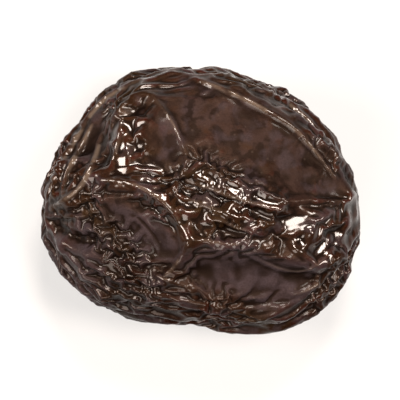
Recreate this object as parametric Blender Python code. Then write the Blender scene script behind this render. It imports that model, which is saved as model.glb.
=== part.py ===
"""A prune: one whole dried plum, lying broad side up on a small flat spot of its own skin.

The fruit is one solid. Its form is a lopsided pebble, wider than it is high, whose skin carries
three sizes of relief: hollows where the flesh has sunk, long folds and creases, and a net of
wrinkles. Metres, +Z up. The stem end is at -X. The origin is under the middle of the fruit, on the
surface that it lies on.
"""

import math
from collections import namedtuple

import bmesh
import bpy
import numpy as np
from mathutils import Vector, noise

MM = 0.001
NAME = "prune"

# Driving dimensions of the finished fruit
LENGTH = 36.0 * MM
WIDTH = 30.2 * MM
HEIGHT = 21.0 * MM

# The outline seen from above: its radius every 30 degrees, anticlockwise from the blossom end
PLAN_RADII = [r * MM for r in (17.9, 16.6, 15.4, 15.0, 16.3, 16.2, 17.8, 17.2, 14.6, 13.9, 16.6, 18.2)]
CROWN = 11.6 * MM
BELLY = 10.0 * MM
FULLNESS = 0.90

# The widest level isn't quite level: it is highest in this direction, by this much
LEVEL_AZIMUTH = 60.0
LEVEL_RISE = 0.9 * MM

# The skin where the fruit rests: how far under the widest level it is pressed flat, between which
# elevations the relief dies out towards that spot, and how much it is sunk above it, and where
REST_DEPTH = 9.78 * MM
REST_SNAP = 0.10 * MM
REST_CALM = (-74.0, -64.0)
REST_SINK = 0.4 * MM
REST_SUNK = (-64.0, -42.0)

# The faces of a cube, each cut into this many squares a side, become the skin, which is then
# softened this often, by this share each time, and thinned to this share of its triangles, fewest
# where it is nearly flat
SQUARES = 64
SOFTENINGS = 3
SOFTENING_SHARE = 0.5
THINNED = 0.225

Fold = namedtuple("Fold", "height width points")

# Hollows and swellings of the flesh on the upper side: height and half width in mm, then the line
# that each follows, as x, y in mm from above
SWELLINGS = (
    Fold(-0.9, 4.0, ((-0.5, 8.8), (5.5, 6.4), (11.0, 3.2))),
    Fold(-1.0, 3.4, ((-12.0, -2.6), (-7.0, -4.6), (-4.0, -6.8))),
    Fold(-1.0, 2.8, ((1.5, -7.6), (6.0, -8.4), (9.5, -8.8))),
    Fold(-1.1, 1.9, ((-11.8, 10.0), (-12.3, 7.0), (-11.0, 4.6))),
    Fold(1.0, 2.4, ((11.0, -3.2), (12.1, -3.7))),
    Fold(-0.6, 2.4, ((-6.6, 7.0), (-5.4, 3.4))),
)

# Ridges that stand up along the upper side
RIDGES = (
    Fold(
        height=1.0,
        width=1.1,
        points=((-3.0, 14.0), (1.0, 13.3), (5.0, 11.7), (9.0, 9.3), (12.6, 6.7), (15.2, 3.6), (16.2, 0.4)),
    ),
    Fold(1.1, 1.0, ((-5.6, 12.6), (-8.6, 9.8), (-8.9, 6.4), (-9.6, 3.9), (-11.8, 2.7))),
    Fold(0.9, 1.0, ((-10.6, 11.8), (-13.6, 7.4), (-15.6, 3.2), (-16.9, -0.6))),
    Fold(0.7, 0.9, ((-11.2, 5.6), (-13.2, 3.1), (-15.0, -0.2))),
    Fold(1.4, 1.1, ((-11.8, 2.5), (-7.6, 1.9), (-4.9, 0.7), (-2.6, -1.8), (-1.1, -4.3))),
    Fold(1.1, 1.0, ((-1.1, -4.3), (1.6, -4.9), (4.4, -4.6), (7.4, -5.2))),
    Fold(0.9, 1.1, ((-1.1, -4.3), (-2.2, -6.6), (-4.2, -9.0))),
    Fold(1.4, 1.1, ((-1.6, 3.8), (1.6, 2.5), (5.0, 1.2), (8.2, 0.3), (11.0, -0.9))),
    Fold(0.9, 0.9, ((-0.2, 0.9), (2.6, -0.9), (5.4, -2.2), (8.4, -3.0))),
    Fold(0.8, 0.8, ((1.3, -3.2), (2.6, -1.2), (5.6, -0.2))),
    Fold(1.1, 1.0, ((8.2, -5.4), (10.9, -6.7), (13.6, -6.5), (15.6, -4.4), (16.2, -1.6))),
    Fold(0.8, 0.9, ((-5.4, 11.6), (-4.4, 9.0), (-2.6, 6.6), (-2.4, 4.6))),
    Fold(0.7, 0.9, ((-7.0, 9.4), (-6.0, 6.6), (-6.2, 3.6))),
    Fold(0.9, 1.0, ((-8.6, -9.4), (-4.0, -10.3), (0.6, -11.2), (6.0, -12.4), (10.6, -11.9))),
    Fold(0.7, 0.9, ((-4.6, -8.6), (-0.6, -9.6), (3.8, -10.8))),
    Fold(0.7, 1.0, ((-16.2, -4.6), (-14.0, -7.0), (-11.6, -9.4), (-9.2, -10.6))),
)

# Creases pinched into the upper side
CREASES = (
    Fold(-0.7, 0.9, ((0.0, 14.8), (5.4, 13.5), (9.8, 11.2), (13.6, 8.2), (16.2, 4.8))),
    Fold(-0.9, 0.9, ((-17.6, -2.6), (-15.0, -3.9), (-12.6, -4.6), (-10.2, -6.4))),
    Fold(-0.8, 0.9, ((9.6, -1.6), (9.0, -4.0), (10.6, -5.6))),
    Fold(-1.0, 1.0, ((8.6, -7.6), (12.0, -8.8), (15.2, -8.0), (17.6, -5.6))),
    Fold(-0.6, 0.9, ((-14.9, 6.2), (-16.6, 2.2), (-17.6, -1.4))),
    Fold(-0.8, 0.9, ((-6.4, 0.2), (-3.8, -1.2), (-2.6, -3.4))),
    Fold(-0.6, 0.9, ((-3.4, 2.2), (0.2, 1.4), (3.6, 0.1))),
)
FOLD_SHARPNESS = 1.6

# A fold fades to its ends like the arch of a sine, of which it takes this stretch
FOLD_TAPER = 0.7
FADE_START = 0.12
FADE_SPAN = 0.76

# The stem scar: a small pit at the stem end, with its puckered rim
STEM_AZIMUTH = 184.0
STEM_ELEVATION = 3.0
STEM_PIT = Fold(-1.5, 1.5, ())
STEM_RIM = Fold(0.5, 0.9, ())
STEM_RIM_RADIUS = 2.5 * MM

# Wrinkles that run lengthwise round the flanks and the underside and gather at both ends, in two
# sizes: height, spacing, and how much closer together they would be lengthwise
LONG_WRINKLES = (
    (1.00 * MM, 4.6 * MM, 0.30),
    (0.50 * MM, 2.9 * MM, 0.42),
)
LONG_LEVEL = 0.4
LONG_RING = 13.0 * MM
LONG_GATHER = 7.0 * MM
LONG_TOP_SHARE = 0.25
LONG_TOP = (25.0, 50.0)

# The net of wrinkles all over: crests on the borders between the cells round scattered points
NET_HEIGHT = 0.65 * MM
NET_SPACING = 3.7 * MM
NET_STRETCH = 0.70
NET_BORDER = 0.55
NET_LEVEL = 0.25

# How the lines of both patterns wander, and the form of the crests
WANDER_SEED = 2
SWIRL = 0.8
SWIRL_SIZE = 2.0
CREST_SHARPNESS = 2.4
CREST_ROUNDING = 0.07

# Where the skin is stretched smooth, or crumpled: the change of the net's height, half width in mm,
# then the line
PATCHES = (
    Fold(-0.95, 4.2, ((-0.5, 9.0), (6.0, 6.4), (11.5, 3.0))),
    Fold(-0.7, 2.6, ((-9.0, -2.0), (-4.6, -5.0))),
    Fold(-0.8, 2.6, ((1.6, -7.6), (9.5, -8.8))),
    Fold(-0.7, 1.6, ((-11.8, 9.0), (-11.4, 5.4))),
    Fold(0.5, 2.6, ((0.0, 2.4), (7.0, -1.6), (12.0, -6.0))),
)

STEPS_PER_SPAN = 24
SKIN_COLOUR = (0.030, 0.016, 0.012, 1.0)
SKIN_ROUGHNESS = 0.34


def spline(before, start, end, after, share):
    """The Catmull-Rom value at this share of the way from start to end."""
    cubic = 3 * (start - end) + after - before
    square = 2 * before - 5 * start + 4 * end - after
    return start + 0.5 * share * (end - before + share * (square + share * cubic))


def ease(value, low, high):
    """0 below low, 1 above high and a smooth rise between."""
    share = np.clip((value - low) / (high - low), 0.0, 1.0)
    return share * share * (3.0 - 2.0 * share)


def plan_radius(azimuth):
    """The outline's radius in this direction, in degrees from +X."""
    count = len(PLAN_RADII)
    place = azimuth % 360.0 / 360.0 * count
    first = int(place) % count
    near = [PLAN_RADII[(first + step) % count] for step in (-1, 0, 1, 2)]
    return spline(*near, place - int(place))


def body_point(azimuth, elevation):
    """A point of the smooth body, before any relief. Elevation is 90 at the crown."""
    level = math.radians(elevation)
    out = max(math.cos(level), 0.0) ** FULLNESS
    rise = abs(math.sin(level)) ** FULLNESS
    height = CROWN * rise if elevation > 0 else -BELLY * rise
    height += LEVEL_RISE * out * math.cos(math.radians(azimuth - LEVEL_AZIMUTH))
    radius = plan_radius(azimuth) * out
    turn = math.radians(azimuth)
    return np.array((radius * math.cos(turn), radius * math.sin(turn), height))


def top_point(x_mm, y_mm):
    """The point of the smooth body's upper side that is seen at x, y from above."""
    azimuth = math.degrees(math.atan2(y_mm, x_mm))
    share = min(math.hypot(x_mm, y_mm) * MM / plan_radius(azimuth), 1.0)
    return body_point(azimuth, math.degrees(math.acos(share ** (1 / FULLNESS))))


def smooth_line(points):
    """Points close together on a smooth curve through the given ones."""
    ends = [2 * points[0] - points[1], *points, 2 * points[-1] - points[-2]]
    line = []
    for first in range(len(points) - 1):
        for step in range(STEPS_PER_SPAN):
            line.append(spline(*ends[first : first + 4], step / STEPS_PER_SPAN))
    line.append(points[-1])
    return np.array(line)


def nearness(skin, fold):
    """How close each point of the skin is to a fold's line, 1 on it, and its place along it, 0 to 1."""
    line = smooth_line([top_point(x, y) for x, y in fold.points])
    gap = np.linalg.norm(skin[:, None, :] - line[None, :, :], axis=2)
    along = gap.argmin(axis=1) / (len(line) - 1)
    return np.exp(-((gap.min(axis=1) / (fold.width * MM)) ** FOLD_SHARPNESS)), along


def top_relief(skin):
    """The hollows, ridges and creases of the upper side, each fading to its ends."""
    total = np.zeros(len(skin))
    for fold in SWELLINGS + RIDGES + CREASES:
        close, along = nearness(skin, fold)
        fade = np.sin(np.pi * (FADE_START + FADE_SPAN * along)) ** FOLD_TAPER
        total += fold.height * MM * close * fade
    return total


def stem_relief(skin):
    """The pit of the stem scar and the rim round it."""
    centre = body_point(STEM_AZIMUTH, STEM_ELEVATION)
    gap = np.linalg.norm(skin - centre, axis=1)
    pit = STEM_PIT.height * MM * np.exp(-((gap / (STEM_PIT.width * MM)) ** 2))
    rim = STEM_RIM.height * MM * np.exp(-(((gap - STEM_RIM_RADIUS) / (STEM_RIM.width * MM)) ** 2))
    return pit + rim


def swirled(place):
    """The place in a pattern, moved by a slow noise so that the pattern's lines wander."""
    return place + SWIRL * noise.noise_vector(place / SWIRL_SIZE)


def zero_crest(place):
    """1 where a noise passes through zero, falling to 0 on both sides of a rounded crest."""
    return max(0.0, 1.0 - CREST_SHARPNESS * math.hypot(noise.noise(place), CREST_ROUNDING))


def long_wrinkles(skin, directions):
    """Lengthwise crests where a stretched noise passes through zero, lower on top and at both ends."""
    total = np.zeros(len(skin))
    across = np.maximum(np.linalg.norm(skin[:, 1:], axis=1), MM)
    for height, spacing, stretch in LONG_WRINKLES:
        for index, (x, y, z) in enumerate(skin):
            ring = LONG_RING / across[index]
            place = swirled(Vector((x * stretch, y * ring, z * ring)) / spacing)
            total[index] += height * (zero_crest(place) - LONG_LEVEL)
    elevation = np.degrees(np.arcsin(np.clip(directions[:, 2], -1.0, 1.0)))
    share = 1.0 - (1.0 - LONG_TOP_SHARE) * ease(elevation, *LONG_TOP)
    return total * share * ease(across, 0.0, LONG_GATHER)


def net_of_wrinkles(skin):
    """Crests along the borders of cells that are a little longer lengthwise."""
    total = np.zeros(len(skin))
    for index, (x, y, z) in enumerate(skin):
        near = noise.voronoi(swirled(Vector((x * NET_STRETCH, y, z)) / NET_SPACING))[0]
        crest = max(0.0, 1.0 - (near[1] - near[0]) / NET_BORDER)
        total[index] = NET_HEIGHT * (crest * crest - NET_LEVEL)
    return total


def share_of_patches(skin):
    """The share of the wrinkles' height at each point, from the smooth and the crumpled patches."""
    share = np.ones(len(skin))
    for patch in PATCHES:
        share *= 1.0 + patch.height * nearness(skin, patch)[0]
    return share


def even_sphere():
    """A cube cut into even squares, with its points moved out to a unit sphere."""
    mesh = bmesh.new()
    bmesh.ops.create_cube(mesh, size=2.0)
    bmesh.ops.subdivide_edges(mesh, edges=mesh.edges[:], cuts=SQUARES - 1, use_grid_fill=True)
    for vertex in mesh.verts:
        even = Vector([math.tan(value * math.pi / 4) for value in vertex.co])
        vertex.co = even.normalized()
    return mesh


def wrinkled_skin():
    """The smooth body, pushed in and out by the relief, which dies out at the flat spot."""
    mesh = even_sphere()
    directions = np.array([vertex.co for vertex in mesh.verts])
    for vertex, (x, y, z) in zip(mesh.verts, directions):
        elevation = math.degrees(math.asin(max(-1.0, min(1.0, z))))
        vertex.co = body_point(math.degrees(math.atan2(y, x)), elevation)
    mesh.normal_update()
    skin = np.array([vertex.co for vertex in mesh.verts])
    normals = np.array([vertex.normal for vertex in mesh.verts])
    relief = top_relief(skin) + stem_relief(skin)
    relief += share_of_patches(skin) * (long_wrinkles(skin, directions) + net_of_wrinkles(skin))
    elevation = np.degrees(np.arcsin(np.clip(directions[:, 2], -1.0, 1.0)))
    sunk = REST_SINK * (1.0 - ease(elevation, *REST_SUNK))
    relief = (relief - sunk) * ease(elevation, *REST_CALM)
    for vertex, point, normal, height in zip(mesh.verts, skin, normals, relief):
        vertex.co = point + normal * height
    for _ in range(SOFTENINGS):
        bmesh.ops.smooth_vert(
            mesh,
            verts=mesh.verts[:],
            factor=SOFTENING_SHARE,
            use_axis_x=True,
            use_axis_y=True,
            use_axis_z=True,
        )
    data = bpy.data.meshes.new(NAME)
    mesh.to_mesh(data)
    mesh.free()
    return data


def thinned(fruit):
    """The fruit's mesh with most triangles kept where the skin bends most."""
    decimate = fruit.modifiers.new("thinned", "DECIMATE")
    decimate.ratio = THINNED
    bpy.context.view_layer.update()
    evaluated = fruit.evaluated_get(bpy.context.evaluated_depsgraph_get())
    mesh = bmesh.new()
    mesh.from_mesh(evaluated.data)
    fruit.modifiers.remove(decimate)
    return mesh


def press_flat(mesh):
    """Cuts the skin level at the rest depth, moving the nearest points to the cut, and closes it."""
    bmesh.ops.bisect_plane(
        mesh,
        geom=mesh.verts[:] + mesh.edges[:] + mesh.faces[:],
        dist=REST_SNAP,
        plane_co=(0.0, 0.0, -REST_DEPTH),
        plane_no=(0.0, 0.0, 1.0),
        use_snap_center=True,
        clear_inner=True,
    )
    bmesh.ops.holes_fill(mesh, edges=mesh.edges[:])


def bring_to_size(mesh):
    """Brings the fruit to its driving dimensions, with the origin under its middle."""
    points = np.array([vertex.co for vertex in mesh.verts])
    low, high = points.min(axis=0), points.max(axis=0)
    scale = np.array((LENGTH, WIDTH, HEIGHT)) / (high - low)
    foot = np.array(((low[0] + high[0]) / 2, (low[1] + high[1]) / 2, low[2]))
    for vertex, point in zip(mesh.verts, points):
        vertex.co = (point - foot) * scale


def skin_material():
    """The near-black, glossy skin."""
    material = bpy.data.materials.new("prune_skin")
    material.use_nodes = True
    shader = material.node_tree.nodes["Principled BSDF"]
    shader.inputs["Base Color"].default_value = SKIN_COLOUR
    shader.inputs["Roughness"].default_value = SKIN_ROUGHNESS
    shader.inputs["Metallic"].default_value = 0.0
    return material


def make_prune(collection):
    """The fruit, thinned, pressed flat where it rests and brought to size."""
    fruit = bpy.data.objects.new(NAME, wrinkled_skin())
    collection.objects.link(fruit)
    mesh = thinned(fruit)
    press_flat(mesh)
    bring_to_size(mesh)
    mesh.to_mesh(fruit.data)
    mesh.free()
    fruit.data.shade_smooth()
    fruit.data.materials.append(skin_material())


def main():
    """Clears the scene and makes the fruit."""
    for old in list(bpy.data.objects):
        bpy.data.objects.remove(old, do_unlink=True)
    collection = bpy.data.collections.new(NAME)
    bpy.context.scene.collection.children.link(collection)
    noise.seed_set(WANDER_SEED)
    make_prune(collection)


main()
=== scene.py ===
"""The looks of a prune: a finer skin over the fruit's form, wrinkled as it dries, with its material.

Metres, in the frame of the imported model. Sizes marked MM are millimetres times MM.
"""

import math
from collections import namedtuple
from types import SimpleNamespace

import bpy
import numpy as np
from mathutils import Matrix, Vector, noise


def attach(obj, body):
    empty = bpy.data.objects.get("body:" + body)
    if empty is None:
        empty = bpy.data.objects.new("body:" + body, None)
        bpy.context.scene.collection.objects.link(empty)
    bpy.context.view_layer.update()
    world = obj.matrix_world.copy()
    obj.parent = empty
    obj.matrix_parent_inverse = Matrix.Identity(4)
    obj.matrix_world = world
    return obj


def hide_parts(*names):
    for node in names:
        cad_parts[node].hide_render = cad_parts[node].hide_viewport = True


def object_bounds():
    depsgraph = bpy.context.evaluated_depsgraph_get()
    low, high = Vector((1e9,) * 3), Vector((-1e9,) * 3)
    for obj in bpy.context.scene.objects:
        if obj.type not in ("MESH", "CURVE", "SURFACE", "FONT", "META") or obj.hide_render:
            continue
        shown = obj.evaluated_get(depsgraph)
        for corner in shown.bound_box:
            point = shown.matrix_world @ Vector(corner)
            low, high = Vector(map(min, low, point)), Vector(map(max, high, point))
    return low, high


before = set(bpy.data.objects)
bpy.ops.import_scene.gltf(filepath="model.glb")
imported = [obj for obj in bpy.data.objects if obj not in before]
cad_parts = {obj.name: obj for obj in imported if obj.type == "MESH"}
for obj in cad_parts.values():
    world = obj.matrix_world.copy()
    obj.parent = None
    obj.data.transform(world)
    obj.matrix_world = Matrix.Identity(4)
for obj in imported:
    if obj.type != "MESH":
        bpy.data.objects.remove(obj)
cad_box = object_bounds()

MM = 0.001

# The even skin that the wrinkles form in: how near points are merged, the size of its squares, and how
# often it is smoothed, by what share each time
MERGE_DISTANCE = 0.0001 * MM
SKIN_SQUARE = 0.415 * MM
SKIN_SMOOTHINGS = 3
SKIN_SMOOTHING_SHARE = 0.5

# A line on the upper side is given by points as x, y in mm from above. Its corners are cut this often, at
# this share of each stretch, and it is laid on the skin above this height
CORNER_ROUNDS = 3
CORNER_CUT = 0.25
UPPER_SIDE = 7.0 * MM

# A part of the skin along a line: how much of the wrinkling goes there, and the half width in mm
Patch = namedtuple("Patch", "calm width points")

# Patches that stay stretched smooth
PATCHES = (
    Patch(0.93, 4.4, ((-0.5, 9.0), (6.0, 6.4), (11.5, 3.0))),
    Patch(0.80, 1.9, ((-9.4, -0.6), (-6.2, -2.6), (-3.6, -5.4))),
    Patch(0.85, 2.7, ((1.6, -7.6), (9.5, -8.8))),
    Patch(0.70, 1.7, ((-11.8, 9.0), (-11.4, 5.4))),
    Patch(0.55, 1.2, ((-4.6, 8.4), (-3.9, 6.6), (-3.2, 4.8))),
    Patch(0.60, 1.0, ((14.4, 1.6), (16.4, 1.8))),
)

# Places where the skin is taut and sticky with sugar, which gives the strongest highlights
STICKY = (
    Patch(0.90, 1.2, ((-8.8, 7.0), (-9.0, 5.2), (-9.6, 3.4))),
    Patch(0.60, 0.9, ((-0.2, 2.6), (2.0, 1.5), (5.2, 0.4), (8.8, -1.3))),
    Patch(0.50, 0.8, ((-2.6, -2.2), (-1.9, -3.2), (-1.4, -4.2))),
    Patch(0.75, 1.9, ((10.8, -3.0), (11.6, -4.4))),
    Patch(0.60, 1.1, ((13.6, -6.0), (15.9, -4.4))),
    Patch(0.40, 1.0, ((3.0, -1.4), (5.0, -2.0))),
)

# Small taut facets: the half width in mm, and how steeply each rises towards -X and -Y
Facet = namedtuple("Facet", "width lean_x lean_y points")
FACETS = (
    Facet(1.4, -0.48, 0.02, ((-8.7, 3.1), (-8.7, 4.4))),
    Facet(0.8, -0.48, 0.02, ((-8.9, 5.6), (-8.8, 7.3))),
    Facet(1.9, 0.17, 0.03, ((10.7, -2.8), (11.9, -3.2), (11.2, -4.8))),
    Facet(0.6, -0.30, -0.25, ((11.2, -4.3), (11.9, -3.8))),
    Facet(0.8, 0.08, 0.32, ((0.0, 2.5), (1.6, 1.8))),
    Facet(0.7, 0.14, 0.30, ((2.9, 1.3), (4.0, 0.7))),
    Facet(0.8, 0.04, 0.33, ((6.2, 0.1), (8.6, -1.0))),
    Facet(0.7, 0.49, -0.04, ((3.8, -1.5), (4.1, -2.2))),
    Facet(0.7, -0.48, 0.02, ((-1.9, -3.0), (-1.6, -4.0))),
    Facet(0.8, 0.49, -0.04, ((13.4, -5.6), (14.2, -4.5))),
    Facet(0.7, 0.49, -0.04, ((15.2, -4.9), (15.5, -4.0))),
    Facet(1.7, 0.02, -0.08, ((-4.5, 7.8), (-3.4, 5.0))),
)

# How nearly level a facet is, and the height and spacing of the slight bumps that stay on it
FACET_SHARE = 0.90
FACET_BUMP = 0.035 * MM
FACET_BUMP_SPACING = 1.2 * MM

# Long thin crests, with the height in mm
Crest = namedtuple("Crest", "calm width height points")
CRESTS = (
    # Round the hollow at the lower left, and on to the right and down from its end
    Crest(0.50, 1.3, 0.30, (
        (-11.0, 2.0), (-8.7, 2.1), (-6.6, 1.3), (-4.6, 0.2), (-2.9, -1.4), (-1.1, -4.4),
    )),
    Crest(0.40, 1.1, 0.24, ((-1.1, -4.5), (1.0, -4.6), (2.9, -5.1), (4.6, -4.9))),
    Crest(0.29, 1.0, 0.25, ((-1.1, -4.5), (-2.3, -6.9), (-4.0, -8.6))),
    # The double line along the far rim
    Crest(0.50, 1.1, 0.38, (
        (-0.7, 13.4), (2.1, 12.3), (4.9, 11.0), (7.7, 9.5), (10.4, 7.9), (12.4, 5.6), (15.0, 2.2),
    )),
    Crest(0.50, 1.0, 0.32, ((1.3, 14.2), (4.6, 13.4), (7.7, 12.0), (10.7, 10.2), (13.3, 7.6), (15.4, 4.4))),
    # Along the rim at the stem end
    Crest(0.55, 1.1, 0.42, (
        (-17.0, 0.6), (-16.0, 3.1), (-14.4, 5.9), (-12.4, 9.3), (-10.3, 11.6), (-6.6, 13.3),
    )),
    Crest(0.50, 0.9, 0.40, ((-16.6, -1.0), (-13.4, 0.8), (-11.8, 3.6), (-10.9, 7.2))),
    Crest(0.55, 1.1, 0.40, ((-15.2, 0.4), (-14.9, 2.6), (-13.5, 5.4), (-12.0, 8.5))),
    # Left of the large smooth patch
    Crest(0.35, 0.8, 0.22, ((-8.7, 8.6), (-8.9, 6.2), (-9.8, 3.4))),
    Crest(0.40, 0.9, 0.24, ((-5.5, 11.6), (-4.0, 9.8), (-2.6, 7.8), (-1.9, 5.0))),
    # Along the ridge across the middle
    Crest(0.25, 0.9, 0.26, ((-1.0, 1.7), (1.3, 1.0), (3.8, 0.0), (6.7, -0.7), (9.8, -1.5))),
    Crest(0.40, 0.9, 0.22, ((-2.3, 0.3), (-0.1, -0.5), (1.8, -1.3), (3.8, -1.9), (6.4, -2.5))),
    Crest(0.40, 0.9, 0.20, ((0.2, -2.6), (2.2, -2.2), (3.8, -3.2), (6.8, -3.9))),
    # Along the near side and its rim
    Crest(0.20, 0.8, 0.19, ((5.4, -6.2), (8.2, -7.5), (11.0, -8.2), (13.4, -7.0), (15.2, -4.8))),
    Crest(0.25, 0.9, 0.17, ((-9.6, -9.6), (-5.4, -10.4), (-0.7, -11.4), (4.0, -12.2), (9.6, -11.8))),
    Crest(0.25, 0.9, 0.15, ((-16.6, -3.0), (-15.2, -6.4), (-12.4, -9.0), (-9.4, -10.4))),
    Crest(0.35, 0.7, 0.24, ((10.2, -5.3), (11.6, -6.3), (13.2, -7.5))),
    Crest(0.30, 0.8, 0.25, ((-4.9, -8.3), (-3.0, -9.2), (-1.0, -9.7), (-0.5, -11.2))),
    # Faint ones in the hollow at the lower left
    Crest(0.20, 0.7, 0.13, ((-8.4, -0.6), (-5.8, -2.3), (-4.2, -4.6))),
    Crest(0.20, 0.7, 0.11, ((-7.2, -2.0), (-5.4, -3.9), (-4.6, -6.0))),
    # The near rim at the blossom end
    Crest(0.30, 0.9, 0.24, ((10.2, -10.6), (12.4, -9.9), (14.2, -8.5), (15.6, -6.6))),
)

# A crest's half width and how pointed its profile is, and how far into the half wave its ends begin
CREST_HALF_WIDTH = 0.34 * MM
CREST_SHARPNESS = 1.2
CREST_END = 0.04

# Shallow dents in the smooth patches
DENT = 0.14 * MM
DENT_SPACING = 2.1 * MM

# The share of their calm that the patches and the sticky places keep while the fine folds form
FINE_PATCH_CALM = 0.75
FINE_STICKY_CALM = 0.55
FINE_CALM = tuple(
    patch._replace(calm=share * patch.calm)
    for patches, share in ((PATCHES, FINE_PATCH_CALM), (STICKY, FINE_STICKY_CALM))
    for patch in patches
)

# One drying of the skin: how much too large it is for the flesh along the folds and across them, how it
# resists bending, how the flesh holds it, how many times as firmly against going in, for how many steps,
# and the parts that stay calmer
Drying = namedtuple("Drying", "along across bend bed firm steps calmer")
WIDE_FOLDS = Drying(0.055, 0.15, 0.02, 0.014, 1.5, 500, PATCHES + STICKY + CRESTS)
FINE_FOLDS = Drying(0.050, 0.09, 0.035, 0.010, 1.5, 110, FINE_CALM)

GROWING_SHARE = 0.1
PACE = 0.3
KEPT_SPEED = 0.88
STIR = 0.02
RANDOM_SEED = 11

# The folds run from the stem end to the blossom end, over the skin with its relief blurred this often
STEM_END = (-18.0 * MM, -1.3 * MM, 9.5 * MM)
BLOSSOM_END = (18.3 * MM, 0.0 * MM, 9.5 * MM)
RELIEF_BLURS = 40

# In some places they net together: there the skin is too large along them too, by this much more. The
# netting rises between these values of a noise that is taken from this place
NETTED = 0.05
NET_RISE = (0.0, 0.5)
NET_PLACE = Vector((31.0, 7.0, 13.0)) * MM

# How much the wrinkling varies over the skin, how widely it and the netting do so, and between which
# heights the wrinkling starts above the flat spot
UNEVENNESS = 0.45
UNEVEN_SPACING = 7.0 * MM
REST_RIM = (0.1 * MM, 1.6 * MM)

# The noise comes out from about -0.5 to 0.5
NOISE_GAIN = 2.0

# Added before a division, so that nothing is divided by 0
SMALLEST_WAY = 1e-9
SMALLEST_REACH = 1e-12
SMALLEST_SQUARE = 1e-20

# The heights stored for the material: the name, how often the level around is blurred, and the span that
# counts as 1, then that span for the crests alone
HEIGHTS = (("fine_height", 8, 0.04 * MM), ("broad_height", 110, 0.25 * MM))
LINE_SPAN = 0.22 * MM

# Colours: red, green and blue as shares of the light that comes back, and 1
BROWN = (0.0122, 0.0044, 0.0019, 1.0)
OLIVE = (0.0122, 0.0060, 0.0021, 1.0)
RED = (0.0190, 0.0036, 0.0014, 1.0)
BLOOM = (0.0220, 0.0158, 0.0182, 1.0)
# DARK serves the skin's dark specks and grain, and also the painted shade in folds, hollows and on some
# sides
DARK = (0.0016, 0.0006, 0.0003, 1.0)
# The pale crest lines: partly pale scuffed skin and partly a painted highlight
PALE_EDGE_AND_HIGHLIGHT = (0.0500, 0.0355, 0.0260, 1.0)
VELVET = (0.0150, 0.0082, 0.0072, 1.0)
PALE_DOT = (0.0350, 0.0250, 0.0190, 1.0)

# Relief: the stored values where each share starts and is full
CREST_RISE = (0.1, 1.0)
FOLD_RISE = (0.0, -1.1)
HOLLOW_RISE = (-0.2, -1.4)
STICKY_RISE = (0.08, 0.55)

# Sides of the fruit: the axis, and where along it each share starts and is full, in mm
SIDES = {
    "front": ("Y", 0.0, -8.0),
    "stem_rim": ("X", -9.0, -14.0),
    "stem_half": ("X", 2.0, -8.0),
    "blossom_half": ("X", 4.0, 10.0),
    "flank": ("Z", 11.0, 5.0),
}

# Patterns in the skin: the size of the blotches in mm and how finely they are broken up
CLOUDY = {
    "cloud": (6.0, 2.0),
    "patches": (3.1, 3.0),
    "mottle": (2.4, 4.0),
    "dimples": (1.7, 4.0),
    "grain": (0.17, 3.0),
}
CRINKLE = (0.55, 3.0)
CRINKLE_STRETCH = (0.45, 1.0, 1.0)
DOT_SPACING = 1.3 * MM
DOT_RISE = (0.15, 0.05)
PATTERN_MIDDLE = 0.5

# Bloom, the greyish dust: how much more of it lies on smooth skin and the stem rim in front and on smooth
# skin of the stem half, how it breaks up, where it rises in the clouds, and how much is lost in folds. On
# the smooth skin in front and in the stem half it is partly a painted light, on patches that face away from
# the lamps
BLOOM_AND_PAINTED_LIGHT_ON_SMOOTH = 0.90
DUST_ON_STEM_RIM = 0.40
BLOOM_AND_PAINTED_LIGHT_ON_STEM_HALF = 0.15
DUST_BREAKUP = 0.20
DUST_RISE = (0.58, 0.84)
DUST_LOST_IN_FOLDS = 0.6

# Tints, painted shade and a partly painted highlight, from the bottom up: where each rises in its pattern,
# how strong it is, and where it is weaker
OLIVE_RISE = (0.40, 0.62)
RED_RISE = (0.45, 0.65)
RED_OFF_CRESTS = 0.25
VELVET_RISE = (0.66, 0.46)
BLOOM_SHARE = 0.75
SPECK_RISE = (0.54, 0.42)
SPECK_SHARE = 0.15
SPECK_ON_SMOOTH = 0.80
SPECK_LOST_IN_FRONT = 0.5
# Painted shade on sides of the fruit: the front, more in the stem half, and the smooth skin of the blossom
# half
SHADE_IN_FRONT = 0.30
SHADE_ON_STEM_HALF = 0.45
SHADE_ON_BLOSSOM_HALF = 0.40
HAZE_RISE = (0.50, 0.64)
HAZE_SHARE = 0.5
# Painted shade in the folds and the broad hollows
FOLD_SHADE = 0.8
HOLLOW_SHADE = 0.85
GRAIN_RISE = (0.62, 0.35)
GRAIN_SHARE = 0.30
# The pale crest lines: partly pale scuffed skin and partly a painted highlight
EDGE_RISE = (0.35, 1.5)
EDGE_MOTTLE_RISE = (0.40, 0.56)
EDGE_OFF_MOTTLE = 0.15
DOT_SHARE = 0.25

# Roughness, and what each kind of skin adds to it
ROUGHNESS = 0.34
ROUGHER_SMOOTH = 0.28
ROUGHER_BLOOM = 0.12
ROUGHER_CREST = -0.06
ROUGHER_STICKY = -0.08
ROUGHER_GRAIN = 0.16

# The sugary coat: where syrup lies in the patches, what each kind of skin adds, and where it is thinner
SYRUP_RISE = (0.42, 0.60)
SYRUP_LOST_TO_BLOOM = 0.10
SYRUP_LOST_ON_SMOOTH = 0.85
COAT = 0.50
COAT_SYRUP = 0.45
COAT_STICKY = 0.80
COAT_LINE = 0.40
COAT_SMOOTH = -0.75
COAT_RISE = (0.0, 1.2)
COAT_LOST_ON_FLANK = 0.45
COAT_LOST_IN_FRONT = 0.65
COAT_LOST_ON_STEM_RIM = 0.5
COAT_ROUGHNESS = 0.12
COAT_IOR = 1.35

# The gloss of the bare skin under it
SKIN_SHINE = 0.08
SHINE_TINT = (1.0, 0.66, 0.50, 1.0)

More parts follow.
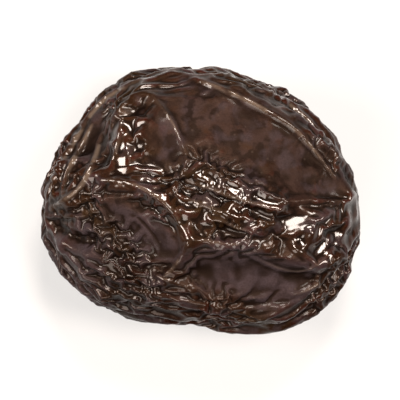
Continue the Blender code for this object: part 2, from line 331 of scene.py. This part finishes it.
# The finest relief, in mm, and how much of the crinkles goes
CRINKLE_HEIGHT = 0.042
CRINKLE_LOST_ON_SMOOTH = 0.5
CRINKLE_LOST_ON_STICKY = 0.7
GRAIN_HEIGHT = 0.016
DOT_HEIGHT = 0.008
DIMPLE_HEIGHT = 0.20

# The floor and the light of lamps and sky
FLOOR_SIZE = 4.0
FLOOR_GREY = (0.17, 0.17, 0.17, 1.0)
FLOOR_ROUGHNESS = 0.9
FLOOR_GLOW = 0.5
WHITE = (1.0, 1.0, 1.0, 1.0)
WARM_LIGHT = (1.0, 0.90, 0.82)
SKY_STRENGTH = 0.10

# Round lamps, all this far off: the turn from the front and the elevation in degrees, the width in metres
# and the watts
LAMP_DISTANCE = 0.6
Lamp = namedtuple("Lamp", "name turn elevation width watts")
LAMPS = (
    Lamp("left lamp", -94.0, 38.0, 0.22, 5.6),
    Lamp("right lamp", 87.0, 38.0, 0.17, 4.6),
    Lamp("back lamp", 170.0, 53.0, 0.17, 6.2),
    Lamp("top lamp", 103.0, 70.0, 0.15, 2.8),
    Lamp("front lamp", -25.0, 45.0, 0.32, 3.6),
)

# The camera looks down almost straight
CAMERA_ELEVATION = 89.0
CAMERA_DISTANCE = 0.30
CAMERA_LENS = 240.0
CAMERA_NEAREST = 0.01


def ease(value, low, high):
    """0 below low, 1 above high and a smooth rise between."""
    share = np.clip((value - low) / (high - low), 0.0, 1.0)
    return share * share * (3.0 - 2.0 * share)


def uneven(points, place, spacing):
    """A number from about -1 to 1 that varies slowly over the skin."""
    numbers = [NOISE_GAIN * noise.noise((Vector(point) + place) / spacing) for point in points]
    return np.array(numbers, np.float32)


def vectors_of(vertices, field):
    """A vector field of the mesh's points, as rows of x, y, z."""
    flat = np.empty(len(vertices) * 3, np.float32)
    vertices.foreach_get(field, flat)
    return flat.reshape(-1, 3)


def numbers_of(collection, field, width=1):
    """A whole-number field of every item in a mesh's collection, as rows where it has a width."""
    flat = np.empty(len(collection) * width, np.int32)
    collection.foreach_get(field, flat)
    return flat.reshape(-1, width) if width > 1 else flat


def move_points(mesh, points):
    """Moves the mesh's points to these rows of x, y, z."""
    mesh.vertices.foreach_set("co", points.astype(np.float32).ravel())
    mesh.update()


class Web:
    """Each point's neighbours across edges and squares, in a table whose unused places hold the point."""

    def __init__(self, mesh):
        count = len(mesh.vertices)
        corners = numbers_of(mesh.loops, "vertex_index")
        starts = numbers_of(mesh.polygons, "loop_start")
        starts = starts[numbers_of(mesh.polygons, "loop_total") == 4]
        edges = numbers_of(mesh.edges, "vertices", 2)
        falling = np.stack([corners[starts], corners[starts + 2]], axis=1)
        rising = np.stack([corners[starts + 1], corners[starts + 3]], axis=1)
        pairs = np.concatenate([edges, falling, rising])
        pairs = np.concatenate([pairs, pairs[:, ::-1]])
        pairs = pairs[np.argsort(pairs[:, 0], kind="stable")]
        valence = np.bincount(pairs[:, 0], minlength=count)
        first = np.concatenate([[0], np.cumsum(valence)[:-1]])
        column = np.arange(len(pairs)) - first[pairs[:, 0]]
        self.near = np.tile(np.arange(count)[:, None], (1, int(valence.max())))
        self.near[pairs[:, 0], column] = pairs[:, 1]
        self.used = np.zeros(self.near.shape, np.float32)
        self.used[pairs[:, 0], column] = 1.0
        self.share = (1.0 / valence).astype(np.float32)[:, None]

    def arms(self, values):
        """From each point's value to each neighbour's, as rows; 0 where a place is unused."""
        return values[self.near] - values[:, None]

    def mean_arm(self, arms):
        """The mean of the arms of each point."""
        return arms.sum(axis=1) * self.share

    def blurred(self, values, times):
        """The values, each moved halfway to the mean of its neighbours this many times."""
        for _ in range(times):
            values = values + 0.5 * self.mean_arm(self.arms(values))
        return values


def drawn_line(points, corners):
    """A rounded line through these places, as seen from above, laid on the upper side of the skin."""
    line = np.array(corners) * MM
    for _ in range(CORNER_ROUNDS):
        near = (1.0 - CORNER_CUT) * line[:-1] + CORNER_CUT * line[1:]
        far = CORNER_CUT * line[:-1] + (1.0 - CORNER_CUT) * line[1:]
        middle = np.stack([near, far], axis=1).reshape(-1, 2)
        line = np.concatenate([line[:1], middle, line[-1:]])
    upper = points[points[:, 2] > UPPER_SIDE]
    gap = np.linalg.norm(upper[:, None, :2] - line[None, :, :], axis=2)
    return np.column_stack([line, upper[gap.argmin(axis=0), 2]])


def beside(points, parts):
    """For each part, how far every point of the skin is from its line, and its place along it, 0 to 1."""
    for part in parts:
        line = drawn_line(points, part.points).astype(np.float32)
        gap = np.full(len(points), np.inf, np.float32)
        along = np.zeros(len(points), np.float32)
        for count, (start, end) in enumerate(zip(line[:-1], line[1:])):
            run = end - start
            share = np.clip((points - start) @ run / (run @ run), 0.0, 1.0)
            away = np.linalg.norm(points - start - share[:, None] * run, axis=1)
            nearer = away < gap
            gap[nearer] = away[nearer]
            along[nearer] = (count + share[nearer]) / (len(line) - 1)
        yield part, gap, along


def calmed(points, parts):
    """How much of the wrinkling these parts take away at each point, from 0 to 1."""
    loose = np.ones(len(points), np.float32)
    for part, gap, _ in beside(points, parts):
        loose *= 1.0 - part.calm * np.exp(-((gap / (part.width * MM)) ** 2))
    return 1.0 - loose


def crest_heights(points):
    """How high the long thin crests stand at each point, in metres, each fading to its ends."""
    height = np.zeros(len(points), np.float32)
    for crest, gap, along in beside(points, CRESTS):
        fade = np.sqrt(np.sin(np.pi * (CREST_END + (1.0 - 2.0 * CREST_END) * along)))
        profile = np.exp(-((gap / CREST_HALF_WIDTH) ** CREST_SHARPNESS))
        height = np.maximum(height, crest.height * MM * fade * profile)
    return height


def levelled(points):
    """The points, with the small taut facets of the upper side made nearly flat but for slight bumps."""
    points = points.copy()
    bumps = FACET_BUMP * uneven(points, Vector(), FACET_BUMP_SPACING)
    for facet, gap, _ in beside(points, FACETS):
        held = np.exp(-((gap / (facet.width * MM)) ** 2))
        middle = (held[:, None] * points).sum(axis=0) / held.sum()
        flat = middle[2] - (points - middle)[:, :2] @ np.array((facet.lean_x, facet.lean_y))
        points[:, 2] += FACET_SHARE * held * (flat + bumps - points[:, 2])
    return points


def detailed(points, normals):
    """The points, with the facets, crests and dents of the upper side."""
    raised = crest_heights(points) + DENT * calmed(points, PATCHES) * uneven(points, Vector(), DENT_SPACING)
    return levelled(points) + normals * raised[:, None]


def lengthwise(web, points, normals):
    """The way the folds run at each point of the skin: out of the stem end and into the blossom end."""
    out = points - np.array(STEM_END)
    into = np.array(BLOSSOM_END) - points
    way = out / (out * out).sum(axis=1, keepdims=True) + into / (into * into).sum(axis=1, keepdims=True)
    broad = web.blurred(normals, RELIEF_BLURS)
    way -= broad * (way * broad).sum(axis=1, keepdims=True) / (broad * broad).sum(axis=1, keepdims=True)
    return (way / (np.linalg.norm(way, axis=1, keepdims=True) + SMALLEST_WAY)).astype(np.float32)


def growth_of(web, points, normals, drying):
    """How much longer each arm of the web wants to be: more across the folds than along them."""
    arms = web.arms(points)
    along = np.einsum("pnx,px->pn", arms, lengthwise(web, points, normals)) ** 2
    along /= (arms * arms).sum(axis=2) + SMALLEST_SQUARE
    netted = NETTED * ease(uneven(points, NET_PLACE, UNEVEN_SPACING), *NET_RISE)[:, None]
    share = (1.0 - calmed(points, drying.calmer)) * ease(points[:, 2], *REST_RIM)
    share *= 1.0 + UNEVENNESS * uneven(points, Vector(), UNEVEN_SPACING)
    return (drying.across + (drying.along + netted - drying.across) * along) * share[:, None]


def dried(web, points, normals, growth, drying, seed):
    """Lets a skin that is too large for the flesh settle into wrinkles.

    Growth is the share by which each arm of the web wants to be longer. The skin resists bending, and the
    flesh holds it to its first place: firmly against going in, softly against coming out. That gives broad
    hollows and narrow crests.
    """
    steps = drying.steps
    start = points.copy()
    arms = web.arms(points)
    length = np.sqrt((arms * arms).sum(axis=2))
    square = float(length.sum() / web.used.sum())
    draw = np.random.default_rng(seed)
    points = points + (draw.normal(size=points.shape) * STIR * square).astype(np.float32)
    speed = np.zeros_like(points)
    for step in range(steps):
        grown = np.float32(min(1.0, (step + 1) / (GROWING_SHARE * steps)))
        arms = web.arms(points)
        reach = np.sqrt((arms * arms).sum(axis=2)) + SMALLEST_REACH
        push = (1.0 - length * (1.0 + grown * growth) / reach) * web.used
        force = web.mean_arm(arms * push[:, :, None])
        curl = web.mean_arm(arms)
        force -= drying.bend * web.mean_arm(web.arms(curl))
        moved = points - start
        rise = (moved * normals).sum(axis=1, keepdims=True)
        force -= drying.bed * (moved + (drying.firm - 1.0) * np.minimum(rise, 0.0) * normals)
        speed = KEPT_SPEED * speed + PACE * force
        points = points + speed
        points[:, 2] = np.maximum(points[:, 2], 0.0)
    return points


def apply_modifier(piece, kind, **settings):
    """Adds a modifier with these settings and applies it."""
    modifier = piece.modifiers.new(kind.lower(), kind)
    for name, value in settings.items():
        setattr(modifier, name, value)
    bpy.context.view_layer.objects.active = piece
    bpy.ops.object.modifier_apply(modifier=modifier.name)


def even_copy(node):
    """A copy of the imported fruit, merged and made of even squares."""
    piece = node.copy()
    piece.data = node.data.copy()
    piece.parent = None
    piece.name = "prune_skin"
    for key in list(piece.keys()):
        del piece[key]
    bpy.context.scene.collection.objects.link(piece)
    piece.select_set(True)
    apply_modifier(piece, "WELD", merge_threshold=MERGE_DISTANCE)
    apply_modifier(piece, "REMESH", mode="VOXEL", voxel_size=SKIN_SQUARE)
    apply_modifier(piece, "SMOOTH", factor=SKIN_SMOOTHING_SHARE, iterations=SKIN_SMOOTHINGS)
    return piece


def dry(mesh, drying, seed, detail=None):
    """Wrinkles the mesh by one drying, after its points are given this detail."""
    web = Web(mesh)
    points = vectors_of(mesh.vertices, "co")
    normals = vectors_of(mesh.vertices, "normal")
    if detail:
        points = detail(points, normals)
    growth = growth_of(web, points, normals, drying)
    move_points(mesh, dried(web, points, normals, growth, drying, seed))


def wrinkle(piece):
    """Wrinkles the skin twice: in wide folds, then finely on squares of half the size."""
    dry(piece.data, WIDE_FOLDS, RANDOM_SEED)
    apply_modifier(piece, "SUBSURF", levels=1, render_levels=1)
    dry(piece.data, FINE_FOLDS, RANDOM_SEED + 1, detailed)
    piece.data.shade_smooth()


def keep_heights(mesh):
    """Stores for the material how far each point stands above the skin around it, and how taut it is."""
    web = Web(mesh)
    points = vectors_of(mesh.vertices, "co")
    normals = vectors_of(mesh.vertices, "normal")
    values = {
        "stretched": calmed(points, PATCHES),
        "sticky": calmed(points, STICKY),
        "crest_line": crest_heights(points) / LINE_SPAN,
    }
    for name, blurs, span in HEIGHTS:
        values[name] = ((points - web.blurred(points, blurs)) * normals).sum(axis=1) / span
    for name, numbers in values.items():
        attribute = mesh.attributes.new(name, "FLOAT", "POINT")
        attribute.data.foreach_set("value", numbers.astype(np.float32))


def pick(sockets, key):
    """The socket with this number, or the one in use that has this name."""
    if isinstance(key, int):
        return sockets[key]
    return next(socket for socket in sockets if socket.enabled and socket.name == key)


class Wire:
    """An output in a material. Sums on it add Math nodes."""

    def __init__(self, board, socket):
        self.board = board
        self.socket = socket

    def maths(self, operation, first, second):
        return self.board.add("ShaderNodeMath", {"operation": operation}, {0: first, 1: second})

    def __add__(self, other):
        return self.maths("ADD", self, other)

    def __radd__(self, other):
        return self.maths("ADD", other, self)

    def __sub__(self, other):
        return self.maths("SUBTRACT", self, other)

    def __rsub__(self, other):
        return self.maths("SUBTRACT", other, self)

    def __mul__(self, other):
        return self.maths("MULTIPLY", self, other)

    def __rmul__(self, other):
        return self.maths("MULTIPLY", other, self)


class Board:
    """One material's nodes."""

    def __init__(self, name):
        self.material = bpy.data.materials.new(name)
        self.material.use_nodes = True
        self.tree = self.material.node_tree
        self.shader = self.tree.nodes["Principled BSDF"]

    def feed(self, socket, value):
        """Links a wire to the socket, or sets the socket's own value."""
        if isinstance(value, Wire):
            self.tree.links.new(value.socket, socket)
        else:
            socket.default_value = value

    def add(self, kind, settings, values, output=0):
        """Adds a node: its settings, then the values or wires of its sockets. Gives one of its outputs."""
        node = self.tree.nodes.new(kind)
        for name, value in settings.items():
            setattr(node, name, value)
        for key, value in values.items():
            self.feed(pick(node.inputs, key), value)
        return Wire(self, pick(node.outputs, output))

    def finish(self, values):
        """Feeds the shader's sockets, by their names, and gives the material."""
        for name, value in values.items():
            self.feed(self.shader.inputs[name], value)
        return self.material

    def place(self):
        """The place on the piece, in metres."""
        return self.add("ShaderNodeTexCoord", {}, {}, "Object")

    def along(self, place, axis):
        """How far the place lies along this axis."""
        return self.add("ShaderNodeSeparateXYZ", {}, {"Vector": place}, axis)

    def stored(self, name):
        """A number stored at the mesh's points."""
        return self.add("ShaderNodeAttribute", {"attribute_name": name}, {}, "Fac")

    def blotches(self, place, size, detail, kind="FBM"):
        """Cloudy noise with blotches of this size in mm, from 0 to 1."""
        values = {"Vector": place, "Scale": 1.0 / (size * MM), "Detail": detail}
        return self.add("ShaderNodeTexNoise", {"noise_type": kind}, values)

    def rise(self, value, low, high):
        """0 at low, 1 at high and a smooth rise between."""
        values = {"Value": value, "From Min": low, "From Max": high}
        return self.add("ShaderNodeMapRange", {"interpolation_type": "SMOOTHSTEP"}, values)

    def mix(self, share, first, second):
        """The first colour at a share of 0, the second at 1."""
        values = {"Factor": share, "A": first, "B": second}
        return self.add("ShaderNodeMix", {"data_type": "RGBA"}, values, "Result")


def relief_of(board):
    """What the skin does at a place: 0 to 1, and more on the highest crest lines."""
    fine = board.stored("fine_height")
    return SimpleNamespace(
        crest=board.rise(fine, *CREST_RISE),
        fold=board.rise(fine, *FOLD_RISE),
        hollow=board.rise(board.stored("broad_height"), *HOLLOW_RISE),
        smooth=board.stored("stretched"),
        sticky=board.rise(board.stored("sticky"), *STICKY_RISE),
        line=board.stored("crest_line"),
    )


def sides_of(board, place):
    """How much the place is on each side of the fruit, 0 to 1."""
    shares = {}
    for name, (axis, start, full) in SIDES.items():
        shares[name] = board.rise(board.along(place, axis), start * MM, full * MM)
    return SimpleNamespace(**shares)


def patterns_of(board, place):
    """The patterns in the skin, 0 to 1."""
    patterns = {name: board.blotches(place, *blotch) for name, blotch in CLOUDY.items()}
    stretched = board.add("ShaderNodeVectorMath", {"operation": "MULTIPLY"}, {0: place, 1: CRINKLE_STRETCH})
    patterns["crinkle"] = board.blotches(stretched, *CRINKLE, "RIDGED_MULTIFRACTAL")
    cells = board.add("ShaderNodeTexVoronoi", {}, {"Vector": place, "Scale": 1.0 / DOT_SPACING})
    patterns["dots"] = board.rise(cells, *DOT_RISE)
    return SimpleNamespace(**patterns)


def bloom_of(board, relief, side, pattern):
    """How much greyish bloom lies on the skin, 0 to 1; on smooth skin in front and in the stem half it is
    partly a painted light.
    """
    dust_and_painted_light = side.front * (BLOOM_AND_PAINTED_LIGHT_ON_SMOOTH * relief.smooth + DUST_ON_STEM_RIM * side.stem_rim)
    dust_and_painted_light = dust_and_painted_light + BLOOM_AND_PAINTED_LIGHT_ON_STEM_HALF * relief.smooth * side.stem_half
    dust_and_painted_light = pattern.cloud + dust_and_painted_light + DUST_BREAKUP * (pattern.patches - PATTERN_MIDDLE)
    return board.rise(dust_and_painted_light, *DUST_RISE) * (1.0 - DUST_LOST_IN_FOLDS * relief.fold)


def colour_of(board, relief, side, pattern, bloom):
    """Near-black brown, with the tints, the painted shade and the partly painted highlight laid over it one
    after the other.
    """
    smooth = relief.smooth
    red = board.rise(pattern.patches, *RED_RISE) * (RED_OFF_CRESTS + (1.0 - RED_OFF_CRESTS) * relief.crest)
    speck = (SPECK_SHARE + SPECK_ON_SMOOTH * smooth) * (1.0 - SPECK_LOST_IN_FRONT * side.front)
    # Painted shade: darker in front, more in the stem half, not on smooth skin or the stem rim, and on
    # smooth skin of the blossom half away from the front
    shade = (SHADE_IN_FRONT + SHADE_ON_STEM_HALF * side.stem_half) * side.front
    shade = shade * (1.0 - smooth) * (1.0 - side.stem_rim)
    shade = shade + SHADE_ON_BLOSSOM_HALF * side.blossom_half * (1.0 - side.front) * smooth
    mottled_edge = board.rise(pattern.mottle, *EDGE_MOTTLE_RISE)
    edge = board.rise(relief.line, *EDGE_RISE) * (EDGE_OFF_MOTTLE + (1.0 - EDGE_OFF_MOTTLE) * mottled_edge)
    layers = (
        (board.rise(pattern.cloud, *OLIVE_RISE), OLIVE),
        (red, RED),
        (smooth * board.rise(pattern.patches, *VELVET_RISE), VELVET),
        (BLOOM_SHARE * bloom, BLOOM),
        (speck * board.rise(pattern.dimples, *SPECK_RISE), DARK),
        # painted shade on the front, the stem half and the smooth skin of the blossom half
        (shade, DARK),
        (HAZE_SHARE * board.rise(pattern.mottle, *HAZE_RISE), BLOOM),
        # painted shade in the folds and hollows
        (FOLD_SHADE * relief.fold, DARK),
        (HOLLOW_SHADE * relief.hollow, DARK),
        (GRAIN_SHARE * board.rise(pattern.grain, *GRAIN_RISE), DARK),
        # pale crest lines, partly a painted highlight
        (edge, PALE_EDGE_AND_HIGHLIGHT),
        (DOT_SHARE * pattern.dots, PALE_DOT),
    )
    colour = BROWN
    for share, tint in layers:
        colour = board.mix(share, colour, tint)
    return colour


def roughness_of(relief, pattern, bloom):
    """How rough the skin is: dull on smooth skin and bloom, glossier on crests and where it is sticky."""
    rough = ROUGHNESS + ROUGHER_SMOOTH * relief.smooth + ROUGHER_BLOOM * bloom
    rough = rough + ROUGHER_CREST * relief.crest + ROUGHER_STICKY * relief.sticky
    return rough + ROUGHER_GRAIN * (pattern.grain - PATTERN_MIDDLE)


def coat_of(board, relief, side, pattern, bloom):
    """How thickly the sugary coat lies, 0 to 1."""
    syrup = board.rise(pattern.patches - SYRUP_LOST_TO_BLOOM * bloom, *SYRUP_RISE)
    syrup = syrup * (1.0 - SYRUP_LOST_ON_SMOOTH * relief.smooth)
    coat = COAT + COAT_SYRUP * syrup + COAT_STICKY * relief.sticky
    coat = coat + COAT_LINE * relief.line + COAT_SMOOTH * relief.smooth
    dull = COAT_LOST_IN_FRONT * side.front + COAT_LOST_ON_STEM_RIM * side.stem_rim * (1.0 - side.front)
    coat = board.rise(coat, *COAT_RISE) * (1.0 - COAT_LOST_ON_FLANK * side.flank)
    return coat * (1.0 - dull * (1.0 - relief.sticky))


def bump_of(board, relief, pattern):
    """The finest relief: crinkles, pores, pale dots and the dimples of smooth skin."""
    height = CRINKLE_HEIGHT * pattern.crinkle * (1.0 - CRINKLE_LOST_ON_SMOOTH * relief.smooth)
    height = height * (1.0 - CRINKLE_LOST_ON_STICKY * relief.sticky) + GRAIN_HEIGHT * pattern.grain
    height = height + DOT_HEIGHT * pattern.dots + DIMPLE_HEIGHT * pattern.dimples * relief.smooth
    return board.add("ShaderNodeBump", {}, {"Height": height, "Distance": MM})


def make_skin_material():
    """Near-black brown skin: painted shade in folds and hollows, reddish on thin crests, pale crest lines
    that are partly a painted highlight, with a bloom and a sticky gloss.
    """
    board = Board("prune_skin")
    place = board.place()
    relief = relief_of(board)
    side = sides_of(board, place)
    pattern = patterns_of(board, place)
    bloom = bloom_of(board, relief, side, pattern)
    return board.finish({
        "Base Color": colour_of(board, relief, side, pattern, bloom),
        "Roughness": roughness_of(relief, pattern, bloom),
        "Specular IOR Level": SKIN_SHINE,
        "Specular Tint": SHINE_TINT,
        "Coat Weight": coat_of(board, relief, side, pattern, bloom),
        "Coat Roughness": COAT_ROUGHNESS,
        "Coat IOR": COAT_IOR,
        "Normal": bump_of(board, relief, pattern),
    })


def make_prune():
    """The fruit's skin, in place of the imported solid."""
    piece = even_copy(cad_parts["prune"])
    wrinkle(piece)
    keep_heights(piece.data)
    piece.data.materials.clear()
    piece.data.materials.append(make_skin_material())
    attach(piece, "root")
    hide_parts("prune")


def make_floor():
    """The plain white ground, which glows a little."""
    bpy.ops.mesh.primitive_plane_add(size=FLOOR_SIZE)
    floor = bpy.context.object
    floor.name = "floor"
    floor.data.materials.append(Board("floor").finish({
        "Base Color": FLOOR_GREY,
        "Roughness": FLOOR_ROUGHNESS,
        "Specular IOR Level": 0.0,
        "Emission Color": WHITE,
        "Emission Strength": FLOOR_GLOW,
    }))


def way_to(turn, elevation):
    """The way from the fruit at this turn from the front and this elevation, both in degrees."""
    turn = math.radians(turn)
    rise = math.radians(elevation)
    return Vector((math.sin(turn) * math.cos(rise), -math.cos(turn) * math.cos(rise), math.sin(rise)))


def make_lamp(lamp):
    """A round soft lamp that shines on the fruit."""
    way = way_to(lamp.turn, lamp.elevation)
    bpy.ops.object.light_add(type="AREA", location=way * LAMP_DISTANCE)
    light = bpy.context.object
    light.name = lamp.name
    light.data.shape = "DISK"
    light.data.size = lamp.width
    light.data.energy = lamp.watts
    light.data.color = WARM_LIGHT
    light.rotation_euler = way.to_track_quat("Z", "Y").to_euler()


def make_sky():
    """A pale sky all round, and plain colours in the picture."""
    world = bpy.data.worlds.new("studio")
    world.use_nodes = True
    background = world.node_tree.nodes["Background"]
    background.inputs["Color"].default_value = (*WARM_LIGHT, 1.0)
    background.inputs["Strength"].default_value = SKY_STRENGTH
    bpy.context.scene.world = world
    bpy.context.scene.view_settings.view_transform = "Standard"


def make_camera():
    """A camera that looks down on the middle of the fruit."""
    low, high = cad_box
    way = way_to(0.0, CAMERA_ELEVATION)
    bpy.ops.object.camera_add(location=(Vector(low) + Vector(high)) / 2 + way * CAMERA_DISTANCE)
    camera = bpy.context.object
    camera.rotation_euler = way.to_track_quat("Z", "Y").to_euler()
    camera.data.lens = CAMERA_LENS
    camera.data.clip_start = CAMERA_NEAREST
    bpy.context.scene.camera = camera


bpy.ops.object.select_all(action="DESELECT")
make_prune()
make_floor()
for lamp in LAMPS:
    make_lamp(lamp)
make_sky()
make_camera()
